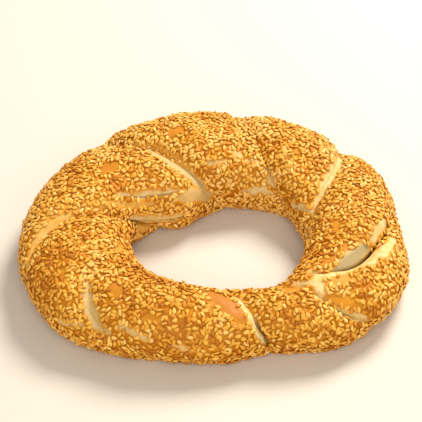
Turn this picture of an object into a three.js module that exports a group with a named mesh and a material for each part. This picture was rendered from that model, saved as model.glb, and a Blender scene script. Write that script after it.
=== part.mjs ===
// A simit: a ring of bread made of two ropes of dough, twisted together and closed into a loop.
// Millimetres, +Z up. The ring lies on its flat underside at z = 0, centred on the Z axis.
import * as THREE from 'three';

// Driving dimensions, each at even steps round the ring from +X towards +Y. The ring is
// hand-made, so the twisted rope is thicker at the back than in front.
const OUTER_RADIUS = [ // to the outer side of the rope
  82.2, 85, 83.3, 82.8, 82.8, 82.4, 83.5, 85.3, 87.4, 90.8, 88.8, 80.5, 75.2, 76, 86.8, 87,
];
const HOLE_RADIUS = [ // to the side of the hole
  38.5, 38, 36, 30.3, 24, 21, 19.5, 29, 39.5, 41, 43, 42, 42.2, 45.5, 44.5, 41.2,
];
const HEIGHT = [ // of the top of the rope
  29, 29.2, 30.4, 32.6, 34, 34.2, 33, 30.5, 28.9, 27.5, 26.5, 26.5, 25, 24, 25.4, 26.4,
];
const CONTACT_DEPTH = 0.2; // how much of the rope's half-height the tray has pressed flat
const SLUMP = 0.8; // below 1, the soft dough has settled into a fuller lower side at the hole

// The grooves between the two ropes of dough. Each groove is followed round the twisted rope,
// from under it, through the hole's side and over the top, to the outer rim.
// These are the five lines along the rope, as angles round its section: 0 is the top,
// +90 the side of the hole, -90 the outer side, and 180 the underside.
const LINES = [180, 75, 20, -25, -75];

// For each groove, where it meets each of those lines, in degrees round the ring, and how far
// it lies below the dough there. gap is half the width of its floor. Both are in millimetres.
const GROOVES = [
  { angle: [-28, 2, 22.5, 34.5, 45.5], depth: [1.2, 2.4, 3.4, 3.6, 3], gap: 1.3 },
  { angle: [21, 45.5, 66, 77, 89], depth: [1.2, 2, 3.2, 4.2, 4.4], gap: 0.4 },
  { angle: [71, 101.5, 119.5, 131.5, 139.5], depth: [1, 3.4, 4.4, 5, 5.2], gap: 1.9 },
  { angle: [126, 173, 182.5, 189.5, 201.5], depth: [1, 3.6, 2.6, 3, 1.6], gap: 1.6 },
  { angle: [161, 190, 210, 224.5, 237.5], depth: [0.6, 0.5, 0.6, 2.4, 2], gap: 0.8 },
  { angle: [222, 262, 281, 283.5, 286], depth: [1, 1.6, 2.6, 3.2, 3.6], gap: 0.7 },
  { angle: [262, 287, 306.5, 309, 315.5], depth: [0.8, 1.2, 1.8, 2.4, 1.4], gap: 0.5 },
  { angle: [289, 297, 319.5, 345, 365.5], depth: [1, 2, 3.4, 4.8, 1.6], gap: 2.8 },
];
const GROOVE_SHOULDER = 11; // width over which the dough rounds down into a groove
const CROWN = 1.4; // how far a rope of dough stands up between two deep grooves
const DEEP_GROOVE = 2.5; // the rope stands up less beside a groove that is shallower than this

// Fineness of the mesh.
const STEPS_ACROSS_DOUGH = 16; // between two grooves
const STEPS_ROUND_ROPE = 36;

const fullTurn = 360;
const radians = THREE.MathUtils.degToRad;
const smoothStep = (t) => t * t * (3 - 2 * t);

// A value at an angle round the ring, on a smooth closed curve through evenly spaced values.
function roundRing(values, angle) {
  const count = values.length;
  const place = THREE.MathUtils.euclideanModulo(angle / fullTurn, 1) * count;
  const index = Math.floor(place);
  const t = place - index;
  const near = [-1, 0, 1, 2].map((k) => values[(index + k + count) % count]);
  const startSlope = (near[2] - near[0]) / 2;
  const endSlope = (near[3] - near[1]) / 2;
  const bow = t * (1 - t) * ((1 - t) * startSlope - t * endSlope);
  return near[1] + smoothStep(t) * (near[2] - near[1]) + bow;
}

// A groove goes once round the rope and carries on as the groove after the next one. So the
// grooves form two long lines, and this gives a point of one of them. step counts the lines
// that it meets, from the underside of the groove with the given number.
function groovePoint(number, step) {
  const turn = Math.floor(step / LINES.length);
  const line = step - turn * LINES.length;
  const index = number + 2 * turn;
  const lap = Math.floor(index / GROOVES.length);
  const groove = GROOVES[index - lap * GROOVES.length];
  return {
    section: LINES[line] - fullTurn * turn,
    angle: groove.angle[line] + fullTurn * lap,
    depth: groove.depth[line],
  };
}

// Slope of a smooth curve at its middle point of three, which never runs backwards.
function smoothSlope(before, here, after) {
  const first = (here.angle - before.angle) / (here.section - before.section);
  const second = (after.angle - here.angle) / (after.section - here.section);
  return (2 * first * second) / (first + second);
}

// Where a groove meets an angle of the rope's section: its angle round the ring, and its depth.
function grooveAt(number, section) {
  let step = 0;
  while (groovePoint(number, step + 1).section > section) step += 1;
  const [before, from, to, after] = [-1, 0, 1, 2].map((k) => groovePoint(number, step + k));
  const span = to.section - from.section;
  const t = (section - from.section) / span;
  const startSlope = smoothSlope(before, from, to) * span;
  const endSlope = smoothSlope(from, to, after) * span;
  const bow = t * (1 - t) * ((1 - t) * startSlope - t * endSlope);
  return {
    angle: from.angle + smoothStep(t) * (to.angle - from.angle) + bow,
    depth: from.depth + smoothStep(t) * (to.depth - from.depth),
  };
}

// The section of the twisted rope at an angle round the ring.
function ropeAt(angle) {
  const outer = roundRing(OUTER_RADIUS, angle);
  const hole = roundRing(HOLE_RADIUS, angle);
  const halfHeight = roundRing(HEIGHT, angle) / (2 - CONTACT_DEPTH);
  return {
    radius: (outer + hole) / 2,
    halfWidth: (outer - hole) / 2,
    halfHeight,
    middle: halfHeight * (1 - CONTACT_DEPTH),
  };
}

// Outward and upward share of the rope's half-width and half-height at an angle of its section.
function sectionShape(section) {
  const outward = -Math.sin(radians(section));
  const upward = Math.cos(radians(section));
  const fullness = upward < 0 && outward < 0 ? SLUMP : 1;
  return {
    outward: Math.sign(outward) * Math.abs(outward) ** fullness,
    upward: Math.sign(upward) * Math.abs(upward) ** fullness,
  };
}

// How far the dough lies below its highest level, at a distance from a groove.
function grooveDip(depth, gap, distance) {
  const inward = THREE.MathUtils.clamp(1 - (distance - gap) / GROOVE_SHOULDER, 0, 1);
  return depth * (1 - Math.sqrt(1 - inward * inward));
}

// Length on the dough, square to a groove, of one degree round the ring.
function acrossGroove(number, section, rope) {
  const probe = 2;
  const ahead = grooveAt(number, section - probe).angle;
  const behind = grooveAt(number, section + probe).angle;
  const perDegree = radians(rope.radius + rope.halfWidth * sectionShape(section).outward);
  const along = ((ahead - behind) / (2 * probe)) * perDegree;
  const slant = Math.atan2(along, radians((rope.halfWidth + rope.halfHeight) / 2));
  return perDegree * Math.cos(slant);
}

// A point on the dough between a groove and the next one. share goes from 0 at the first
// groove to 1 at the next, and section is the angle round the rope's section.
function doughPoint(number, share, section) {
  const first = grooveAt(number, section);
  const next = grooveAt(number + 1, section);
  const angle = first.angle + share * (next.angle - first.angle);
  const rope = ropeAt(angle);
  const toFirst = (angle - first.angle) * acrossGroove(number, section, rope);
  const toNext = (next.angle - angle) * acrossGroove(number + 1, section, rope);
  const firstDip = grooveDip(first.depth, GROOVES[number].gap, toFirst);
  const nextDip = grooveDip(next.depth, GROOVES[(number + 1) % GROOVES.length].gap, toNext);
  const near = first.depth + share * (next.depth - first.depth);
  const crown = CROWN * Math.min(1, near / DEEP_GROOVE) * (1 - Math.sin(Math.PI * share));
  const dip = Math.max(firstDip, nextDip) + crown;

  const { outward, upward } = sectionShape(section);
  const facing = new THREE.Vector2(outward / rope.halfWidth, upward / rope.halfHeight).normalize();
  const reach = rope.radius + rope.halfWidth * outward - facing.x * dip;
  const height = rope.middle + rope.halfHeight * upward - facing.y * dip;
  const turned = radians(angle);
  return [reach * Math.cos(turned), reach * Math.sin(turned), Math.max(0, height)];
}

// The whole loaf as one closed surface. Its columns follow the grooves round the rope, so a
// column ends where the column two grooves further on begins.
function simitGeometry() {
  const columns = GROOVES.length * STEPS_ACROSS_DOUGH;
  const positions = [];
  for (let row = 0; row < STEPS_ROUND_ROPE; row += 1) {
    const section = 180 - (fullTurn * row) / STEPS_ROUND_ROPE;
    for (let column = 0; column < columns; column += 1) {
      const number = Math.floor(column / STEPS_ACROSS_DOUGH);
      const share = (column % STEPS_ACROSS_DOUGH) / STEPS_ACROSS_DOUGH;
      positions.push(...doughPoint(number, share, section));
    }
  }

  const vertexAt = (row, column) => {
    const wraps = row === STEPS_ROUND_ROPE;
    const shifted = wraps ? column + 2 * STEPS_ACROSS_DOUGH : column;
    return (wraps ? 0 : row * columns) + (shifted % columns);
  };
  const triangles = [];
  for (let row = 0; row < STEPS_ROUND_ROPE; row += 1) {
    for (let column = 0; column < columns; column += 1) {
      const corner = vertexAt(row, column);
      const beside = vertexAt(row, column + 1);
      const beyond = vertexAt(row + 1, column);
      const opposite = vertexAt(row + 1, column + 1);
      triangles.push(corner, beyond, opposite, corner, opposite, beside);
    }
  }

  const geometry = new THREE.BufferGeometry();
  geometry.setAttribute('position', new THREE.Float32BufferAttribute(positions, 3));
  geometry.setIndex(triangles);
  geometry.computeBoundingBox();
  const middle = geometry.boundingBox.getCenter(new THREE.Vector3());
  geometry.translate(-middle.x, -middle.y, 0);
  geometry.computeVertexNormals();
  return geometry;
}

const crust = new THREE.MeshStandardMaterial({ color: '#d8953f', roughness: 0.6, metalness: 0 });
const simit = new THREE.Mesh(simitGeometry(), crust);
simit.name = 'simit_ring';

const group = new THREE.Group();
group.add(simit);

export default group;
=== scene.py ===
"""A simit: a ring of two twisted dough ropes, baked golden and crusted with sesame seeds."""

import math

import bpy
import numpy as np
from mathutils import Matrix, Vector, noise


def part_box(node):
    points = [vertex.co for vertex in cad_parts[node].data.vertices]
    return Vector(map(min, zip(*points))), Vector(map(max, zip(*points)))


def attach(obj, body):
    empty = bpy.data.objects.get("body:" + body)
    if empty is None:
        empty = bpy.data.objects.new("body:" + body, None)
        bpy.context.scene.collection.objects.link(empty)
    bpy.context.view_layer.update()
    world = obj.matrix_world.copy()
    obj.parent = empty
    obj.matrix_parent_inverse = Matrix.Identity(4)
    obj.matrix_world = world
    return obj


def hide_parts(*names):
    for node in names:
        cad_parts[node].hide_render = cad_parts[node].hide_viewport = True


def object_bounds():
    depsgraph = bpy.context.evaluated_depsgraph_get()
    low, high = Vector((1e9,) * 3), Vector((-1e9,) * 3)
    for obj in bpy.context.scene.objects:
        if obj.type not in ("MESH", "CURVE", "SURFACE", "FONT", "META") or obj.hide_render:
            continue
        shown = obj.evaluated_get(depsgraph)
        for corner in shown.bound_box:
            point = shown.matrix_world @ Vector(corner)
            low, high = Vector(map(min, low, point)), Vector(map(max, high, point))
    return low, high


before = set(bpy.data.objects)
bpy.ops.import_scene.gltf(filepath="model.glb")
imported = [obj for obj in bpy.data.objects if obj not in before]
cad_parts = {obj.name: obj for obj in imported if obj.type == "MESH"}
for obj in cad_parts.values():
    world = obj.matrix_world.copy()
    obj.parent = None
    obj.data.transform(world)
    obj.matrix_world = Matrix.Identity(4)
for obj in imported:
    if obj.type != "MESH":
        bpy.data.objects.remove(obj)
cad_box = [list(corner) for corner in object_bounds()]

# ---------------------------------------------------------------------------------------------
# The loaf. Two ropes of soft wheat dough are twisted together and joined into a ring, which
# proves and bakes on a tray: the underside goes flat, the crests brown, and where the ropes
# pull apart the skin tears and pale dough shows. Worked out here in millimetres.
# ---------------------------------------------------------------------------------------------
MILLIMETRE = 0.001

# At even steps round the ring from +X towards +Y.
outer_radius = [82.2, 85, 83.3, 82.8, 82.8, 82.4, 83.5, 85.3,
                87.4, 90.8, 88.8, 80.5, 75.2, 76, 86.8, 87]
hole_radius = [38.5, 38, 36, 30.3, 24, 21, 19.5, 29,
               39.5, 41, 43, 42, 42.2, 45.5, 44.5, 41.2]
rope_height = [29, 29.2, 30.4, 32.6, 34, 34.2, 33, 30.5,
               28.9, 27.5, 26.5, 26.5, 25, 24, 25.4, 26.4]
contact_depth = 0.2  # share of the half-height that the tray has pressed flat
slump = 0.8  # below 1, the lower side at the hole is fuller

# The lines along the rope that each groove crosses, as angles round the rope's section:
# under it, the side of the hole, the brow, the top, and three down the outer side.
lines = [180, 75, 20, -5, -25, -45, -75]

# One row for each groove between the ropes: at each of those lines, its angle round the ring,
# its depth below the dough beside it, and the depth of the slit along its bottom. Its floor
# reaches to the side before it and the side after it, and climbs by a share of the depth.
grooves = [
    dict(angle=[-28, 2, 22.5, 29.5, 34.5, 39, 45.5], depth=[1.2, 2.4, 3.4, 3.5, 3.6, 3.4, 3],
         slit=[0, 0.2, 0.2, 0.2, 0.2, 0, 0], before=1.3, after=1.1, climb=[0, 0]),
    dict(angle=[21, 45.5, 66, 72, 77, 81.5, 89], depth=[1.2, 2, 3.2, 3.8, 4.2, 4.6, 4.4],
         slit=[0, 0.3, 0.6, 0.7, 0.7, 0.7, 0.6], before=0.3, after=0.3, climb=[0, 0]),
    dict(angle=[71, 101.5, 119.5, 125.5, 131.5, 134, 139.5], depth=[1, 3.4, 4.4, 4.8, 5, 5.2, 5.2],
         slit=[0, 0.3, 0.2, 0, 0, 0, 0], before=1.7, after=2.2, climb=[0, 0.15]),
    dict(angle=[126, 173, 182.5, 186.5, 189.5, 194.5, 201.5], depth=[1, 3.6, 2.6, 2.9, 3, 2.4, 1.6],
         slit=[0, 1.5, 0.8, 0.4, 0.1, 0, 0], before=2.8, after=0.5, climb=[0.35, 0]),
    dict(angle=[161, 190, 210, 219, 224.5, 229.5, 237.5], depth=[0.6, 0.5, 0.6, 1.3, 2, 2, 1.6],
         slit=[0, 0, 0, 0, 0, 0, 0], before=1, after=1, climb=[0, 0]),
    dict(angle=[222, 262, 281, 282.5, 283.5, 284, 286], depth=[1, 1.6, 2.6, 3, 3.2, 3.4, 3.6],
         slit=[0, 0.1, 0.2, 0.2, 0.6, 1.2, 1.4], before=1.2, after=0.3, climb=[0.3, 0]),
    dict(angle=[262, 287, 306.5, 308, 309, 310.5, 315.5], depth=[0.8, 1.2, 1.8, 2.2, 2.4, 2.4, 1.4],
         slit=[0, 0, 0.3, 0.7, 0.8, 1, 0.4], before=0.4, after=0.9, climb=[0, 0.3]),
    dict(angle=[289, 297, 319.5, 330, 344, 352, 365.5], depth=[1, 2, 3, 4.2, 4.8, 3.6, 1.6],
         slit=[0, 0.1, 0.8, 2, 2.4, 1.2, 0], before=3.2, after=4.8, climb=[0.6, 0.72]),
]
groove_shoulder = 11  # width over which the dough rounds down into a groove
crown = 1.4  # how far a rope stands up between two deep grooves
deep_groove = 2.5  # a rope stands up less beside a groove that is shallower than this
slit_width = 0.5
slit_cut = 1.2  # the slit is cut this many times deeper than listed, as it narrows to a point
closed_slit = 0.15  # a shallower slit leaves no bare skin beside it
crack_from = 0.5  # a slit deeper than this gets a dark crack of painted shade along its bottom
crack_width = 0.6
seam_width = 0.9  # how far bare skin reaches to each side of a slit
slope_probe = 2  # the angle ahead and behind at which a groove's slant is measured


def smooth_step(t):
    return t * t * (3 - 2 * t)


def hermite(t, start, end, start_slope, end_slope):
    bow = t * (1 - t) * ((1 - t) * start_slope - t * end_slope)
    return start + smooth_step(t) * (end - start) + bow


def round_ring(values, angle):
    """A value at an angle round the ring, on a smooth closed curve through the given ones."""
    values = np.array(values, float)
    count = len(values)
    place = (angle / 360 % 1) * count
    index = np.floor(place).astype(int)
    before, start, end, after = (values[(index + k) % count] for k in (-1, 0, 1, 2))
    return hermite(place - index, start, end, (end - before) / 2, (after - start) / 2)


def groove_point(number, step):
    """A groove goes once round the rope and carries on as the groove after the next one."""
    turn, line = divmod(step, len(lines))
    lap, index = divmod(number + 2 * turn, len(grooves))
    groove = grooves[index]
    point = {name: groove[name][line] for name in ("depth", "slit")}
    point["angle"] = groove["angle"][line] + 360 * lap
    point["section"] = lines[line] - 360 * turn
    return point


def smooth_slope(before, here, after):
    """Slope of the groove at the middle one of three points, which never runs backwards."""
    first = (here["angle"] - before["angle"]) / (here["section"] - before["section"])
    second = (after["angle"] - here["angle"]) / (after["section"] - here["section"])
    return 2 * first * second / (first + second)


def groove_at(number, section):
    """The groove's angle round the ring, and its shape, at angles of the rope's section."""
    section = np.asarray(section, float)
    result = {}
    for step in range(len(lines)):
        before, start, end, after = (groove_point(number, step + k) for k in (-1, 0, 1, 2))
        span = end["section"] - start["section"]
        t = (section - start["section"]) / span
        here = (t >= 0) & (t < 1)
        if step == 0:
            here |= t < 0
        if step == len(lines) - 1:
            here |= t >= 1
        slopes = [smooth_slope(before, start, end), smooth_slope(start, end, after)]
        angle = hermite(t, start["angle"], end["angle"], slopes[0] * span, slopes[1] * span)
        shape = {"angle": angle}
        for name in ("depth", "slit"):
            shape[name] = start[name] + smooth_step(t) * (end[name] - start[name])
        for name, value in shape.items():
            result[name] = np.where(here, value, result.get(name, 0))
    return result


def section_shape(section):
    """Outward and upward share of the rope's half-width and half-height."""
    outward = -np.sin(np.radians(section))
    upward = np.cos(np.radians(section))
    fullness = np.where((upward < 0) & (outward < 0), slump, 1.0)
    return np.sign(outward) * abs(outward) ** fullness, np.sign(upward) * abs(upward) ** fullness


def lumps(points, size, offset=0.0):
    """Smooth random unevenness of about the given size, the same on every run."""
    shift = Vector((offset, 0.37 * offset, -0.61 * offset))
    return np.array([noise.noise(Vector(p) / size + shift) for p in points.tolist()])


steps_across_dough = 76
steps_round_rope = 156
groove_fineness = 0.5  # how much closer together the mesh's columns are beside a groove
top_fineness = 22  # how much closer together its rows are on top, as an angle

rows, columns = steps_round_rope, len(grooves) * steps_across_dough
row_share = np.arange(rows) / rows
section = (180 - 360 * row_share - top_fineness * np.sin(2 * np.pi * row_share))[:, None]
even = np.arange(steps_across_dough) / steps_across_dough
share = (even - groove_fineness * np.sin(2 * np.pi * even) / (2 * np.pi))[None, :]
outward, upward = section_shape(section)

strips = []
for number in range(len(grooves)):
    first = groove_at(number, section)
    following = groove_at(number + 1, section)
    angle = first["angle"] + share * (following["angle"] - first["angle"])
    outer, hole = round_ring(outer_radius, angle), round_ring(hole_radius, angle)
    half_width = (outer - hole) / 2
    half_height = round_ring(rope_height, angle) / (2 - contact_depth)
    per_degree = np.radians((outer + hole) / 2 + half_width * outward)

    dip, crack_shade, seam = np.zeros_like(angle), np.zeros_like(angle), np.full_like(angle, 99.0)
    for which, side in ((number, 1), (number + 1, -1)):
        groove = grooves[which % len(grooves)]
        here = first if side == 1 else following
        ahead = groove_at(which, section - slope_probe)["angle"]
        behind = groove_at(which, section + slope_probe)["angle"]
        along = (ahead - behind) / (2 * slope_probe) * per_degree
        slant = np.arctan2(along, np.radians((half_width + half_height) / 2))
        away = side * (angle - here["angle"]) * per_degree * np.cos(slant)
        floor = groove["after" if side == 1 else "before"] * here["depth"] / max(groove["depth"])
        climb = groove["climb"][1 if side == 1 else 0]
        rim_depth = here["depth"] * (1 - climb)
        rounding = np.clip(1 - (away - floor) / groove_shoulder, 0, 1)
        rounded = rim_depth * (1 - np.sqrt(1 - rounding**2))
        this_dip = np.where(away > floor, rounded, here["depth"] * (1 - climb * away / floor))
        slit = slit_cut * here["slit"] * np.exp(-((away / slit_width) ** 2))
        dip = np.maximum(dip, this_dip + slit)
        # Painted shade: a dark crack along the bottom of a deep slit, where shade falls.
        crack_shade_amount = np.clip(here["slit"] - crack_from, 0, 1)
        crack_shade = np.maximum(crack_shade, crack_shade_amount * np.exp(-((away / crack_width) ** 2)))
        seam = np.minimum(seam, away + 0.8 * (here["slit"] < closed_slit))
    near_depth = first["depth"] + share * (following["depth"] - first["depth"])
    dip = dip + crown * np.minimum(1, near_depth / deep_groove) * (1 - np.sin(np.pi * share))
    strips.append(dict(angle=angle, dip=dip, crack_shade=crack_shade, seam=seam, outer=outer, hole=hole,
                       half_height=half_height, section=section + 0 * angle))

dough = {name: np.concatenate([strip[name] for strip in strips], 1) for name in strips[0]}
half_width = (dough["outer"] - dough["hole"]) / 2
middle_radius = (dough["outer"] + dough["hole"]) / 2
middle_height = dough["half_height"] * (1 - contact_depth)
facing_out, facing_up = outward / half_width, upward / dough["half_height"]
length = np.hypot(facing_out, facing_up)
facing_out, facing_up = facing_out / length, facing_up / length
turned = np.radians(dough["angle"])


def dough_points(dip):
    """The surface of the dough, this far below its highest level."""
    reach = middle_radius + half_width * outward - facing_out * dip
    height = middle_height + dough["half_height"] * upward - facing_up * dip
    return np.stack([reach * np.cos(turned), reach * np.sin(turned), height], -1)


# Unevenness of the dough, from broad to fine.
smooth_dough = dough_points(dough["dip"]).reshape(-1, 3)
swell = lumps(smooth_dough, 17, 3.0).reshape(rows, columns)
pucker = lumps(smooth_dough, 4.2, 9.0).reshape(rows, columns)
grit = lumps(smooth_dough, 1.3, 21.0).reshape(rows, columns)


def from_path(path):
    """How far the dough is beyond a strip laid along a path, and where it is across the strip.
    The path's points are angles round the ring and round the rope, and half the width."""
    ring_scale = np.radians(middle_radius + half_width * outward)
    rope_scale = np.radians((half_width + dough["half_height"]) / 2)
    beyond, across = np.full((rows, columns), 99.0), np.zeros((rows, columns))
    for start, end in zip(path[:-1], path[1:]):
        start_x = ((start[0] - dough["angle"] + 180) % 360 - 180) * ring_scale
        start_y = (start[1] - dough["section"]) * rope_scale
        run_x, run_y = (end[0] - start[0]) * ring_scale, (end[1] - start[1]) * rope_scale
        run = run_x**2 + run_y**2
        t = np.clip(-(start_x * run_x + start_y * run_y) / run, 0, 1)
        away = np.hypot(start_x + t * run_x, start_y + t * run_y)
        here = away - start[2] - t * (end[2] - start[2])
        side = np.sign(start_x * run_y - start_y * run_x)
        nearer = here < beyond
        beyond = np.where(nearer, here, beyond)
        across = np.where(nearer, side * away, across)
    return beyond, across


# The strips where the skin has stretched bare or torn as the loaf rose. pale: how much white
# dough shows. brown: how browned the bare skin is. grey: moist crumb, with painted shade in
# the tear's hollow. margin: how far the seeds stay off it. thin: share of its seeds missing.
# dip: its depth. slit: depth of a crack, at this distance across it, with painted shade along it.
tears = [
    # the slender groove at the right of the back
    dict(path=[(12, 52.5, 0.9), (16.5, 38, 1.6), (21, 25.5, 1.8), (25, 13, 1.8), (30, -3.5, 1.9),
               (33.5, -19.5, 2), (37.5, -39, 1.8), (41.5, -52, 1.3), (43.5, -53, 0.8)],
         pale=0.95, grey=0.15, margin=0.7),
    dict(path=[(25.5, 79.5, 1.3), (19, 72.5, 2), (13.5, 65, 1.9), (8, 58, 1)],
         pale=0.95, grey=0.3, margin=0.6),
    dict(path=[(4, 30.5, 1.4), (13, 33, 1)], pale=0.2, margin=0.4, thin=0.7),
    # stretch marks along the inner side of the back
    dict(path=[(47, 72, 1), (51.5, 58.5, 1.4), (56.5, 47, 1)], pale=0.7, grey=0.2, margin=0.4),
    dict(path=[(62, 41.5, 0.7), (70, 42.5, 1)], pale=0.7, margin=0.4),
    dict(path=[(73, 39, 0.7), (79, 32.5, 1)], pale=0.7, margin=0.4),
    dict(path=[(85, 45, 0.9), (97, 43, 1.3)], pale=0.8, grey=0.2, margin=0.5),
    dict(path=[(66.5, 87, 1), (59.5, 86.5, 2.3), (53, 84, 2.4), (48.5, 86.5, 1.2)],
         pale=0.95, grey=0.25, margin=0.5),
    # the broad groove at the left of the back
    dict(path=[(98.5, 82, 1.2), (109.5, 53, 1.2), (114, 33, 1.2), (119, 14.5, 1.2), (122.5, 0, 1.2),
               (126.5, -12.5, 1.3), (130.5, -25, 1.3), (134.5, -45, 1.1), (138.5, -59, 0.8)],
         pale=0.2, margin=0.1, thin=0.8),
    dict(path=[(142.5, -52.5, 1), (139.5, -38, 1.6), (136, -27, 2), (132.5, -17.5, 2.5),
               (129.5, -6.5, 2.8), (127.5, 1.5, 2.8), (126.5, 11.5, 2.8), (125.5, 19.5, 2.7),
               (122.5, 31, 2.6), (118, 41.5, 2.4), (112.5, 56, 2), (107, 65.5, 1.5), (101.5, 78, 0.9)],
         pale=0.85, grey=0.6, margin=0.3),
    dict(path=[(100.5, 91.5, 2.6), (112, 79, 3.4), (125.5, 69, 3.4), (137, 69.5, 2)],
         pale=0.6, grey=0.35, margin=0.9),
    # two tears in the flank of the rope that ends there
    dict(path=[(167, 32.5, 0.9), (163.5, 38.5, 1.4), (159, 46.5, 1.7), (155, 51.5, 1.8),
               (149.5, 54.5, 1.7), (143, 57, 1.3), (137, 58, 0.7)],
         pale=1, margin=0.9, dip=0.7, slit=0.8, at=-1.2),
    dict(path=[(172.5, 36.5, 1.2), (170.5, 47.5, 1.8), (166, 57, 1.9), (159, 64.5, 1.5)],
         pale=0.25, margin=0.5),
    dict(path=[(170.5, 73, 1.1), (166, 84.5, 2), (161.5, 94, 2.6), (156, 100, 2.7),
               (149.5, 100, 2.5), (142.5, 97, 1.8), (137.5, 91, 0.8)],
         pale=0.95, grey=0.1, margin=0.9, dip=0.8, slit=1, at=-2),
    dict(path=[(170, 97, 0.9), (164.5, 110, 1.3), (158, 117, 1.5), (150.5, 114, 1.2)],
         pale=0.3, margin=0.5),
    # the golden groove on the left
    dict(path=[(202, -72, 0.6), (198, -66, 0.9), (195, -54, 1.2), (191.5, -44.5, 1.5),
               (188.5, -32, 1.8), (185, -17, 1.6), (183, -4.5, 1), (181.5, 6, 0.5)],
         pale=0.35, margin=0.4, thin=0.9),
    dict(path=[(195, -51, 0.8), (193.5, -43, 1.1), (191.5, -33.5, 1.2), (188.5, -22, 0.8)],
         pale=0.9, grey=0.15, margin=0.4),
    dict(path=[(186.5, -39, 1.5), (181.5, -19, 2.4), (179.5, 0.5, 2.4), (177.5, 16.5, 2.2),
               (174, 30.5, 1.8)], pale=0.15, margin=0.6, thin=0.62),
    # the dimple at the left of the front, and stretch marks low down beside it
    dict(path=[(220.5, -13.5, 0.7), (222, -19, 1.4), (223.5, -25.5, 1.9), (225.5, -32.5, 2.2),
               (228.5, -43.5, 2.5), (230.5, -52, 2.6), (232.5, -62, 2.2), (235.5, -71, 1.3)],
         pale=0.7, grey=0.5, margin=0.1),
    dict(path=[(222, -81, 0.8), (225.5, -75, 1.2), (228.5, -70, 1)], pale=0.7, grey=0.2,
         margin=0.4, dip=0.4),
    dict(path=[(239.5, -55.5, 1.3), (244.5, -63, 1.8), (249, -69.5, 1.2)], pale=0.75, grey=0.3,
         margin=0.4, dip=0.5),
    dict(path=[(257, -78.5, 1.4), (261, -85, 1.4)], pale=0.65, grey=0.2, margin=0.4, dip=0.4),
    # the narrow groove across the front, and the smooth brown patch beside it
    dict(path=[(272.5, 45.5, 0.7), (276, 31, 1.1), (279.5, 7, 1.7), (281, -14, 2),
               (282.5, -37, 1.9), (283.5, -62, 1.5), (285.5, -88.5, 1.2), (287, -109, 0.8)],
         pale=1, grey=0.1, margin=0.4),
    dict(path=[(266.5, 16.5, 1.6), (271, 6, 3.2), (274.5, -9, 3.6), (277, -23.5, 2.6),
               (279.5, -38, 1.4)], brown=1, margin=0.6),
    # the tongue between the front and the open split
    dict(path=[(308, -10, 0.9), (308.5, -21.5, 0.8), (309, -32.5, 1), (311, -45, 1.7),
               (313, -58.5, 2.2), (315.5, -73.5, 1.9), (317, -84, 0.9)],
         pale=0.95, grey=0.1, margin=0.5),
    dict(path=[(310, -17.5, 1.3), (312, -28.5, 2.3), (314, -40, 2), (316.5, -50.5, 1)],
         brown=0.5, margin=0.5),
    dict(path=[(317, 37.5, 0.7), (316.5, 25, 1.3), (313.5, 11.5, 2), (311.5, 3.5, 2),
               (309.5, -5, 1.8), (308, -12.5, 1.1)], pale=1, margin=0.6),
    dict(path=[(305, 30, 0.8), (308.5, 17.5, 1.3), (311.5, 7, 1.3)], pale=0.85, margin=0.4),
    dict(path=[(314.5, -2.5, 1.5), (318.5, -9.5, 1.6), (322.5, -16, 1.2)], brown=0.3, margin=0.6),
    # the open split on the right: near lip, inner slope, outer end and browned far edge
    dict(path=[(315, 10, 1), (321, 0.5, 1.4), (325.5, -5, 1.8), (330, -11.5, 2.4),
               (334.5, -20.5, 2.8), (339, -29, 2.7), (344, -39, 2.1), (350, -51, 1.2)],
         pale=1, margin=1),
    dict(path=[(321, 11.5, 1.2), (327, 6.5, 2.1), (332, 1, 2.3), (336.5, -6, 2.2),
               (341, -13, 1.5)], pale=1, grey=1, margin=0.6),
    dict(path=[(345, -18.5, 1.4), (350, -27, 1.8), (355, -38.5, 1.8), (358, -52.5, 1)],
         pale=1, grey=0.15, margin=0.6),
    dict(path=[(316.5, 51.5, 0.5), (319, 39, 0.6), (322, 29, 0.7), (326.5, 21.5, 0.7),
               (331.5, 15.5, 0.7), (336.5, 6.5, 0.7), (341, -3, 0.7), (345.5, -12, 0.5)],
         brown=0.75, margin=0.2),
    # spots with no seeds
    dict(path=[(150, -0.5, 1.8), (154.5, 0, 2.4)], brown=0.9, margin=0.5),
    dict(path=[(229, -4, 1.8), (233, -6.5, 1.8)], brown=0.9, margin=0.4),
    dict(path=[(211.5, -25, 1), (214, -27, 1)], brown=0.5, margin=0.3),
    dict(path=[(246, -38.5, 1.2), (250, -40, 1.2)], brown=0.4, margin=0.3),
    dict(path=[(299, 18.5, 2), (305.5, 13.5, 1.6)], brown=0.7, margin=0.4),
    dict(path=[(108.5, -5.5, 1.8), (114, -5, 2)], brown=0.8, margin=0.4),
    dict(path=[(155.5, -50.5, 1), (159, -50.5, 1)], brown=0.5, margin=0.2, thin=0.7),
    dict(path=[(343.5, 24.5, 0.9), (350, 21.5, 0.9)], brown=0.6, margin=0.2),
]
bare = np.clip(1.5 - dough["seam"] / seam_width, 0, 1)
pale, grey, brown = (np.zeros((rows, columns)) for _ in range(3))
edge_softness = 0.9
seed_edge_softness = 1.2
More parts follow.
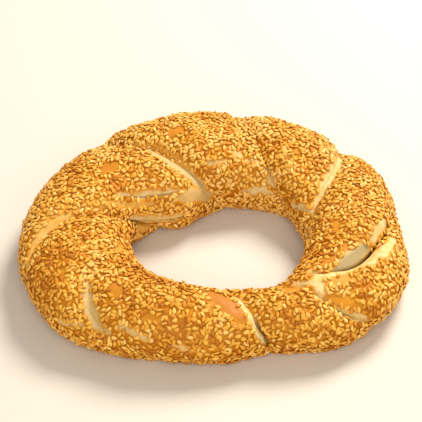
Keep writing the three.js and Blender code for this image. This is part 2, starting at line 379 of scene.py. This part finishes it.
for tear in tears:
    beyond, across = from_path(tear["path"])
    ragged = beyond + 1.1 * pucker + 0.9 * grit
    shown = np.clip(0.5 - ragged / edge_softness, 0, 1)
    no_seeds = np.clip(0.5 - (ragged - tear["margin"]) / seed_edge_softness, 0, 1)
    bare = np.maximum(bare, no_seeds * tear.get("thin", 1))
    pale = np.maximum(pale, tear.get("pale", 0) * shown)
    grey = np.maximum(grey, tear.get("grey", 0) * shown)
    browned = np.clip(0.8 - ragged / seed_edge_softness, 0, 1)
    brown = np.maximum(brown, tear.get("brown", 0) * browned)
    if "dip" in tear:
        dough["dip"] += tear["dip"] * smooth_step(np.clip(0.6 - beyond / 1.6, 0, 1))
    if "slit" in tear:
        at_slit = np.exp(-(((across - tear["at"]) / 0.55) ** 2)) * (beyond < 0.4)
        dough["dip"] += tear["slit"] * at_slit
        # Painted shade along the tear's slit.
        dough["crack_shade"] = np.maximum(dough["crack_shade"], 0.8 * at_slit)

relief = 0.85 * swell + 0.3 * pucker + 0.08 * grit - pale * (0.25 * pucker + 0.1 * grit)
points = dough_points(dough["dip"] - relief).reshape(-1, 3)
seed_bed = 0.35  # the seeds under the loaf lift its skin this far off the tray
points[:, 2] = np.maximum(points[:, 2], seed_bed)
cad_low, cad_high = (np.array(corner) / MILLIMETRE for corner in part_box("simit_ring"))
loaf_middle = (points.min(0) + points.max(0)) / 2
points[:, :2] += ((cad_low + cad_high) / 2 - loaf_middle)[:2]

corner = np.arange(rows)[:, None] * columns + np.arange(columns)[None, :]
beyond = np.concatenate([corner[1:], np.roll(corner[:1], -2 * steps_across_dough, 1)])
faces = np.stack([corner, beyond, np.roll(beyond, -1, 1), np.roll(corner, -1, 1)], -1)
faces = faces.reshape(-1, 4)


def new_piece(name, corners, sides):
    """A smooth mesh object from corners in millimetres."""
    mesh = bpy.data.meshes.new(name)
    mesh.from_pydata((corners * MILLIMETRE).tolist(), [], sides)
    mesh.shade_smooth()
    piece = bpy.data.objects.new(name, mesh)
    bpy.context.scene.collection.objects.link(piece)
    return piece


def mark(piece, name, values):
    """Stores one number at each corner of the mesh, for the material to read."""
    layer = piece.data.attributes.new(name, "FLOAT", "POINT")
    layer.data.foreach_set("value", np.asarray(values, np.float32).ravel())


def lay_out(piece, places):
    """The piece's texture map: a place on the unit square for each corner of each side."""
    layer = piece.data.uv_layers.new(name="OFBake")
    layer.data.foreach_set("uv", places.astype(np.float32).ravel())


loaf = new_piece("baked_loaf", points, faces.tolist())
mark(loaf, "bare", bare)
mark(loaf, "pale", pale)
mark(loaf, "grey", grey)
mark(loaf, "brown", brown)
mark(loaf, "crack_shade", dough["crack_shade"])
crest_depth = 2.2  # dough lower than this is no part of a crest, which browns more
crest = np.clip(1 - dough["dip"] / crest_depth, 0, 1) * np.clip(upward + 0.2, 0, 1)
mark(loaf, "crest", crest)

# The texture map is the mesh's own grid, opened out flat.
across_map = np.arange(columns + 1) / columns
round_map = np.arange(rows + 1) / rows
left, right = across_map[:-1], across_map[1:]
unwrap = np.empty((rows, columns, 4, 2))
unwrap[..., 0] = np.stack([left, left, right, right], -1)[None]
unwrap[..., 1] = np.stack([round_map[:-1], round_map[1:], round_map[1:], round_map[:-1]], -1)[:, None]
lay_out(loaf, unwrap)


def new_material(name):
    material = bpy.data.materials.new(name)
    material.use_nodes = True
    tree = material.node_tree
    tree.nodes.clear()
    return material, tree


def add_node(tree, kind, settings=None, **inputs):
    """A node with its settings, and its inputs as plain values or links from other nodes.
    An input goes by its name, or by its number as i0, i1 and so on."""
    node = tree.nodes.new(kind)
    for name, value in (settings or {}).items():
        setattr(node, name, value)
    for name, value in inputs.items():
        numbered = name[1:].isdigit()
        socket = node.inputs[int(name[1:]) if numbered else name.replace("_", " ")]
        if isinstance(value, bpy.types.NodeSocket):
            tree.links.new(value, socket)
        else:
            socket.default_value = value
    return node


def colour_of(red, green, blue):
    """A colour as paint charts give it, 0 to 255, as the material wants it."""
    parts = [channel / 255 for channel in (red, green, blue)]
    return [p / 12.92 if p <= 0.04045 else ((p + 0.055) / 1.055) ** 2.4 for p in parts] + [1.0]


def mix_colours(tree, amount, under, over):
    mix = add_node(tree, "ShaderNodeMix", {"data_type": "RGBA"}, i0=amount, i6=under, i7=over)
    return mix.outputs[2]


def noise_of(tree, scale, detail=4.0, roughness=0.6):
    place = add_node(tree, "ShaderNodeTexCoord")
    texture = add_node(tree, "ShaderNodeTexNoise", Vector=place.outputs["Object"], Scale=scale,
                       Detail=detail, Roughness=roughness)
    return texture.outputs["Fac"]


def between(tree, value, low, high, to_low=0.0, to_high=1.0):
    ranged = add_node(tree, "ShaderNodeMapRange", {"interpolation_type": "SMOOTHSTEP"}, Value=value,
                      From_Min=low, From_Max=high, To_Min=to_low, To_Max=to_high)
    return ranged.outputs["Result"]


# The skin among the seeds is darker than the bare stretched skin, partly as painted shade in their
# gaps.
golden = colour_of(188, 119, 6)
deep_golden = colour_of(170, 99, 4)
stretched_skin = colour_of(220, 156, 38)
crest_brown = colour_of(220, 138, 26)
pale_speck = colour_of(228, 168, 60)
smooth_brown = colour_of(194, 121, 36)
cream_dough = colour_of(220, 184, 104)
white_dough = colour_of(230, 206, 150)
# moist crumb, darkened with painted shade for the hollows of the tears
shaded_moist_crumb = colour_of(180, 160, 116)
# painted shade at the bottom of deep slits and cracks
painted_crack_shade = colour_of(112, 70, 14)

# Noise scales are per metre: blotches of about 14 mm, streaks of 3 mm and specks of 1 mm.
crust, tree = new_material("golden_crust")
marks = {name: add_node(tree, "ShaderNodeAttribute", {"attribute_name": name}).outputs["Fac"]
         for name in ("bare", "pale", "grey", "brown", "crest", "crack_shade")}
blotches = noise_of(tree, 70)
speckle = noise_of(tree, 900)
streaks = noise_of(tree, 320)
skin = mix_colours(tree, between(tree, blotches, 0.35, 0.65), golden, deep_golden)
# Bare skin is paler; the deeper skin among the seeds is partly painted shade in the gaps between them.
skin = mix_colours(tree, marks["bare"], skin, stretched_skin)
crest_browning = add_node(tree, "ShaderNodeMath", {"operation": "MULTIPLY"},
                          i0=marks["crest"], i1=0.4)
skin = mix_colours(tree, crest_browning.outputs[0], skin, crest_brown)
skin = mix_colours(tree, between(tree, speckle, 0.45, 0.8, 0, 0.5), skin, pale_speck)
skin = mix_colours(tree, marks["brown"], skin, smooth_brown)
pale_dough = mix_colours(tree, between(tree, streaks, 0.35, 0.65), cream_dough, white_dough)
skin = mix_colours(tree, marks["pale"], skin, pale_dough)
# grey: moist crumb, with painted shade in the hollows of the tears.
skin = mix_colours(tree, marks["grey"], skin, shaded_moist_crumb)
# Painted shade: dark brown along the deep slits and cracks.
skin = mix_colours(tree, marks["crack_shade"], skin, painted_crack_shade)
shine = between(tree, speckle, 0.3, 0.7, 0.4, 0.6)
bump = add_node(tree, "ShaderNodeBump", Strength=0.5, Distance=0.0002, Height=speckle)
shader = add_node(tree, "ShaderNodeBsdfPrincipled", Base_Color=skin, Roughness=shine,
                  Specular_IOR_Level=0.14, Normal=bump.outputs["Normal"])
add_node(tree, "ShaderNodeOutputMaterial", Surface=shader.outputs["BSDF"])
loaf.data.materials.append(crust)

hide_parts("simit_ring")
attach(loaf, "root")

# ---------------------------------------------------------------------------------------------
# The sesame seeds. Before baking, the ring is dipped in syrup and rolled in hulled sesame, so
# the seeds lie flat and close all over it, a few on top of others, and stick as it bakes.
# They toast unevenly: each heap here is the seeds that reached one shade.
# ---------------------------------------------------------------------------------------------
seed_length = 3.25
seed_width = 1.82
seed_thickness = 0.9
seed_sunk = 0.12  # how far a seed is pressed into the crust
seed_sides = 7
closest = 1.0  # the least distance between the middles of two seeds
side_by_side = 0.42  # seeds that reach over each other by less than this count as side by side
on_top = 1.3  # a seed that lies on another reaches over it by less than this
share_on_top = 0.15  # how many of those stay there
worn_off = 0.3  # share of the places under the loaf that take no seed
tilt = 0.13  # how unevenly the seeds lie
tries = 80000
dice = np.random.default_rng(1453)

# The way the skin faces, at each corner of the loaf's mesh.
quad = points[faces]
face_normal = np.cross(quad[:, 2] - quad[:, 0], quad[:, 3] - quad[:, 1])
face_area = np.linalg.norm(face_normal, axis=1) / 2
face_normal /= 2 * face_area[:, None] + 1e-12
corner_normal = np.zeros_like(points)
for k in range(4):
    np.add.at(corner_normal, faces[:, k], face_normal * face_area[:, None])
corner_normal /= np.linalg.norm(corner_normal, axis=1)[:, None] + 1e-12

# Places to try a seed at, spread evenly over the skin.
chosen = dice.choice(len(faces), size=tries, p=face_area / face_area.sum())
across, down = dice.random((2, tries, 1))
weights = np.stack([(1 - across) * (1 - down), (1 - across) * down, across * down,
                    across * (1 - down)], 1)
spot = (quad[chosen] * weights).sum(1)
spot_normal = (corner_normal[faces[chosen]] * weights).sum(1)
spot_normal /= np.linalg.norm(spot_normal, axis=1)[:, None]
spot_bare = (bare.ravel()[faces[chosen]] * weights[..., 0]).sum(1)
spot_under = spot[:, 2] < seed_bed + 0.02

# Seeds lie where there is room, turned the way that fits best. A few land on others, and lean
# on the nearest of them. Seeds already laid are kept by the cell of space that they lie in.
reach_long, reach_wide = seed_length / 2, seed_width / 2
side = np.cross(spot_normal, (0.3, 0.5, 0.8))
side /= np.linalg.norm(side, axis=1)[:, None]
other = np.cross(spot_normal, side)
turns = dice.random((tries, 5)) * np.pi
luck = dice.random((tries, 3))
cell = (spot // seed_length).astype(int)
laid = {}
seeds = []
for i in range(tries):
    skin_is_bare = spot_bare[i] > 0.25 + 0.6 * luck[i, 0]
    if skin_is_bare or (spot_under[i] and luck[i, 2] < worn_off):
        continue
    place = spot[i]
    x, y, z = cell[i]
    near = [s for dx in (-1, 0, 1) for dy in (-1, 0, 1) for dz in (-1, 0, 1)
            for s in laid.get((x + dx, y + dy, z + dz), ())]
    direction = math.cos(turns[i, 0]) * side[i] + math.sin(turns[i, 0]) * other[i]
    overlap, lean = 0.0, np.zeros(3)
    if near:
        to = np.array([s[0] for s in near]) - place
        gap = np.linalg.norm(to, axis=1) + 1e-9
        if gap.min() < closest:
            continue
        to /= gap[:, None]
        theirs = np.abs((to * np.array([s[1] for s in near])).sum(1))
        their_reach = 1 / np.sqrt((theirs / reach_long) ** 2 + (1 - theirs**2) / reach_wide**2)
        overlap = 1e9
        for turn in turns[i]:
            tried = math.cos(turn) * side[i] + math.sin(turn) * other[i]
            mine = np.abs(to @ tried)
            my_reach = 1 / np.sqrt((mine / reach_long) ** 2 + (1 - mine**2) / reach_wide**2)
            overlaps = their_reach + my_reach - gap
            if overlaps.max() < overlap:
                overlap, direction, lean = overlaps.max(), tried, to[overlaps.argmax()]
        may_lie_on_top = luck[i, 1] < share_on_top and overlap < on_top and not spot_under[i]
        if overlap > side_by_side and not may_lie_on_top:
            continue
    overlap = max(overlap, 0.0)
    seeds.append((place, direction, spot_normal[i], overlap, lean, spot_under[i], chosen[i]))
    laid.setdefault((x, y, z), []).append((place, direction))

count = len(seeds)
place, direction, up = (np.array([s[k] for s in seeds]) for k in range(3))
overlap, under = np.array([s[3] for s in seeds])[:, None], np.array([s[5] for s in seeds])
lean = np.array([s[4] for s in seeds]) * np.minimum(overlap, 1) * 0.5 * ~under[:, None]
up = up - lean + dice.normal(0, tilt, (count, 3)) * ~under[:, None]
up /= np.linalg.norm(up, axis=1)[:, None]
direction = direction * dice.choice([-1.0, 1.0], (count, 1))
direction -= up * (direction * up).sum(1)[:, None]
direction /= np.linalg.norm(direction, axis=1)[:, None]
sideways = np.cross(up, direction)

size = np.clip(dice.normal(1, 0.08, (count, 3)), 0.8, 1.18)
half_long = seed_length / 2 * size[:, :1]
half_wide = seed_width / 2 * size[:, 1:2]
half_thick = seed_thickness / 2 * size[:, 2:]
centre = place + up * (half_thick - seed_sunk + 0.5 * np.minimum(overlap, 1))
centre[under, 2] = half_thick[under, 0]

# One seed from its pointed tip to its round end: rings at these places along it.
ring_along = np.array([-0.8, -0.44, 0.02, 0.48, 0.85])
ring_girth = np.array([0.27, 0.64, 0.93, 0.98, 0.6])
round_seed = 2 * np.pi * np.arange(seed_sides) / seed_sides
shape = np.concatenate([
    [[-1.0, 0, 0]],
    np.stack([np.repeat(ring_along, seed_sides), np.outer(ring_girth, np.cos(round_seed)).ravel(),
              np.outer(ring_girth**0.85, np.sin(round_seed)).ravel()], -1),
    [[1.0, 0, 0]],
])
last = len(shape) - 1
ring_faces, tip_faces, ring_map, tip_map = [], [], [], []
for k in range(seed_sides):
    beside = (k + 1) % seed_sides
    from_u, to_u = k / seed_sides, (k + 1) / seed_sides
    middle_u, step_v = (from_u + to_u) / 2, 1 / (len(ring_along) + 1)
    tip_faces.append((0, 1 + beside, 1 + k))
    tip_map.append([(middle_u, 0), (to_u, step_v), (from_u, step_v)])
    tip_faces.append((last, last - seed_sides + k, last - seed_sides + beside))
    tip_map.append([(middle_u, 1), (from_u, 1 - step_v), (to_u, 1 - step_v)])
    for ring in range(len(ring_along) - 1):
        a, b = 1 + ring * seed_sides + k, 1 + ring * seed_sides + beside
        low_v, high_v = (ring + 1) * step_v, (ring + 2) * step_v
        ring_faces.append((a, b, b + seed_sides, a + seed_sides))
        ring_map.append([(from_u, low_v), (to_u, low_v), (to_u, high_v), (from_u, high_v)])

# How toasted each seed is: more on the crests and by patches; paler towards the back as painted light.
on_crest = crest.ravel()[faces[np.array([s[6] for s in seeds]), 0]]
toast = dice.normal(0.5, 0.2, count) + 0.3 * lumps(place, 14, 5.0) + 0.18 * on_crest
# Painted light: seeds paler towards the back of the ring, where more light falls.
toast -= 0.0016 * place[:, 1]

# Each heap: the share of all seeds that are no darker than its darkest one, and its light and
# deep colours.
heaps = [
    ("sesame_cream", 0.22, colour_of(248, 203, 115), colour_of(242, 192, 96)),
    ("sesame_golden", 0.48, colour_of(244, 194, 97), colour_of(235, 177, 71)),
    ("sesame_honey", 0.76, colour_of(237, 184, 77), colour_of(223, 160, 49)),
    ("sesame_amber", 0.95, colour_of(225, 162, 55), colour_of(207, 136, 33)),
    ("sesame_toasted", 1, colour_of(201, 128, 33), colour_of(171, 100, 19)),
]
syrup_and_shade_brown = colour_of(178, 98, 4)  # browned syrup at each seed's point, and painted shade low round its side
order = np.argsort(np.argsort(toast)) / count
start = 0.0
for name, end, light, deep in heaps:
    members = np.flatnonzero((order >= start) & (order < end))
    start = end
    n = len(members)
    body = (
        centre[members, None]
        + direction[members, None] * (half_long[members] * shape[None, :, 0])[..., None]
        + sideways[members, None] * (half_wide[members] * shape[None, :, 1])[..., None]
        + up[members, None] * (half_thick[members] * shape[None, :, 2])[..., None]
    )
    body[..., 2] = np.maximum(body[..., 2], 0.02)
    starts = (np.arange(n) * len(shape))[:, None, None]
    quads = (np.array(ring_faces)[None] + starts).reshape(-1, 4)
    tris = (np.array(tip_faces)[None] + starts).reshape(-1, 3)
    pile = new_piece(name, body.reshape(-1, 3), quads.tolist() + tris.tolist())

    # The texture map is a square grid with one seed to each square.
    squares = math.ceil(math.sqrt(n))
    square = np.stack([np.arange(n) % squares, np.arange(n) // squares], -1)[:, None]
    maps = [(square + 0.05 + 0.9 * np.array(part).reshape(1, -1, 2)).reshape(-1, 2) / squares
            for part in (ring_map, tip_map)]
    lay_out(pile, np.concatenate(maps))

    # toast: where a seed is between the two colours. tip: its point. edge: its low side, painted
    # shade.
    mark(pile, "toast", np.repeat(dice.random(n), len(shape)))
    mark(pile, "tip", np.tile(1 - np.clip((shape[:, 0] + 1) * 1.6, 0, 1), n))
    mark(pile, "edge", np.tile(np.clip(1 - shape[:, 2] / 0.6, 0, 1), n))
    husk, tree = new_material(name + "_husk")
    toast_mark = add_node(tree, "ShaderNodeAttribute", {"attribute_name": "toast"}).outputs["Fac"]
    tip_mark = add_node(tree, "ShaderNodeAttribute", {"attribute_name": "tip"}).outputs["Fac"]
    edge_shade_mark = add_node(tree, "ShaderNodeAttribute", {"attribute_name": "edge"}).outputs["Fac"]
    mottle = noise_of(tree, 1400, 2.0)
    shade = mix_colours(tree, toast_mark, light, deep)
    shade = mix_colours(tree, between(tree, mottle, 0.45, 0.75, 0.0, 0.3), shade, deep)
    # Browned syrup at the point, and painted shade low round each seed where it meets the crust.
    for amount, strength in ((edge_shade_mark, 0.5), (tip_mark, 0.45)):
        scaled = add_node(tree, "ShaderNodeMath", {"operation": "MULTIPLY"}, i0=amount, i1=strength)
        shade = mix_colours(tree, scaled.outputs[0], shade, syrup_and_shade_brown)
    gloss = between(tree, mottle, 0.3, 0.7, 0.3, 0.48)
    bump = add_node(tree, "ShaderNodeBump", Strength=0.35, Distance=0.0001, Height=mottle)
    shader = add_node(tree, "ShaderNodeBsdfPrincipled", Base_Color=shade, Roughness=gloss,
                      Specular_IOR_Level=0.22, Normal=bump.outputs["Normal"])
    add_node(tree, "ShaderNodeOutputMaterial", Surface=shader.outputs["BSDF"])
    pile.data.materials.append(husk)
    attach(pile, "root")

# ---------------------------------------------------------------------------------------------
# The table, the light and the camera: a plain pale floor, soft light from above and behind
# with a broader one in front, and a view looking down on the ring.
# ---------------------------------------------------------------------------------------------
floor_mesh = bpy.data.meshes.new("floor")
half = 3.0
floor_corners = [(-half, -half, 0), (half, -half, 0), (half, half, 0), (-half, half, 0)]
floor_mesh.from_pydata(floor_corners, [], [(0, 1, 2, 3)])
floor = bpy.data.objects.new("floor", floor_mesh)
bpy.context.scene.collection.objects.link(floor)
paint, tree = new_material("pale_floor")
shader = add_node(tree, "ShaderNodeBsdfPrincipled", Base_Color=colour_of(216, 208, 198),
                  Roughness=0.7)
add_node(tree, "ShaderNodeOutputMaterial", Surface=shader.outputs["BSDF"])
floor_mesh.materials.append(paint)

world = bpy.data.worlds.new("studio")
world.use_nodes = True
sky = world.node_tree.nodes["Background"].inputs
sky["Color"].default_value = (1.0, 0.95, 0.82, 1.0)
sky["Strength"].default_value = 0.4
bpy.context.scene.world = world


def soft_light(name, place, aim, size, power, colour):
    lamp = bpy.data.lights.new(name, "AREA")
    lamp.shape = "DISK"
    lamp.size = size
    lamp.energy = power
    lamp.color = colour
    light = bpy.data.objects.new(name, lamp)
    light.location = place
    light.rotation_euler = (Vector(aim) - Vector(place)).to_track_quat("-Z", "Y").to_euler()
    bpy.context.scene.collection.objects.link(light)


on_the_ring = (0, 0, 0.02)
soft_light("window", place=(0.4, 0.58, 0.77), aim=on_the_ring, size=0.45, power=14.2,
           colour=(1.0, 0.95, 0.86))
soft_light("fill", place=(0.0, -0.8, 0.6), aim=on_the_ring, size=0.8, power=6.4,
           colour=(1.0, 0.95, 0.88))

bpy.context.scene.view_settings.view_transform = "Standard"

low, high = (Vector(corner) for corner in cad_box)
camera_height = math.radians(38)
camera_distance = 0.6
view = Vector((0, math.cos(camera_height), -math.sin(camera_height)))
picture_up = Vector((0, math.sin(camera_height), math.cos(camera_height)))
rope_middle = 0.015
room_above = 0.0071  # the ring lies this far below the middle of the picture
aim = Vector(((low.x + high.x) / 2, (low.y + high.y) / 2, rope_middle))
aim += Vector((-0.0007, -0.0012, 0)) + picture_up * room_above
lens = bpy.data.cameras.new("camera")
lens.sensor_width = 36
lens.lens = 113.4
camera = bpy.data.objects.new("camera", lens)
camera.location = aim - view * camera_distance
camera.rotation_euler = view.to_track_quat("-Z", "Y").to_euler()
bpy.context.scene.collection.objects.link(camera)
bpy.context.scene.camera = camera

bpy.context.view_layer.update()
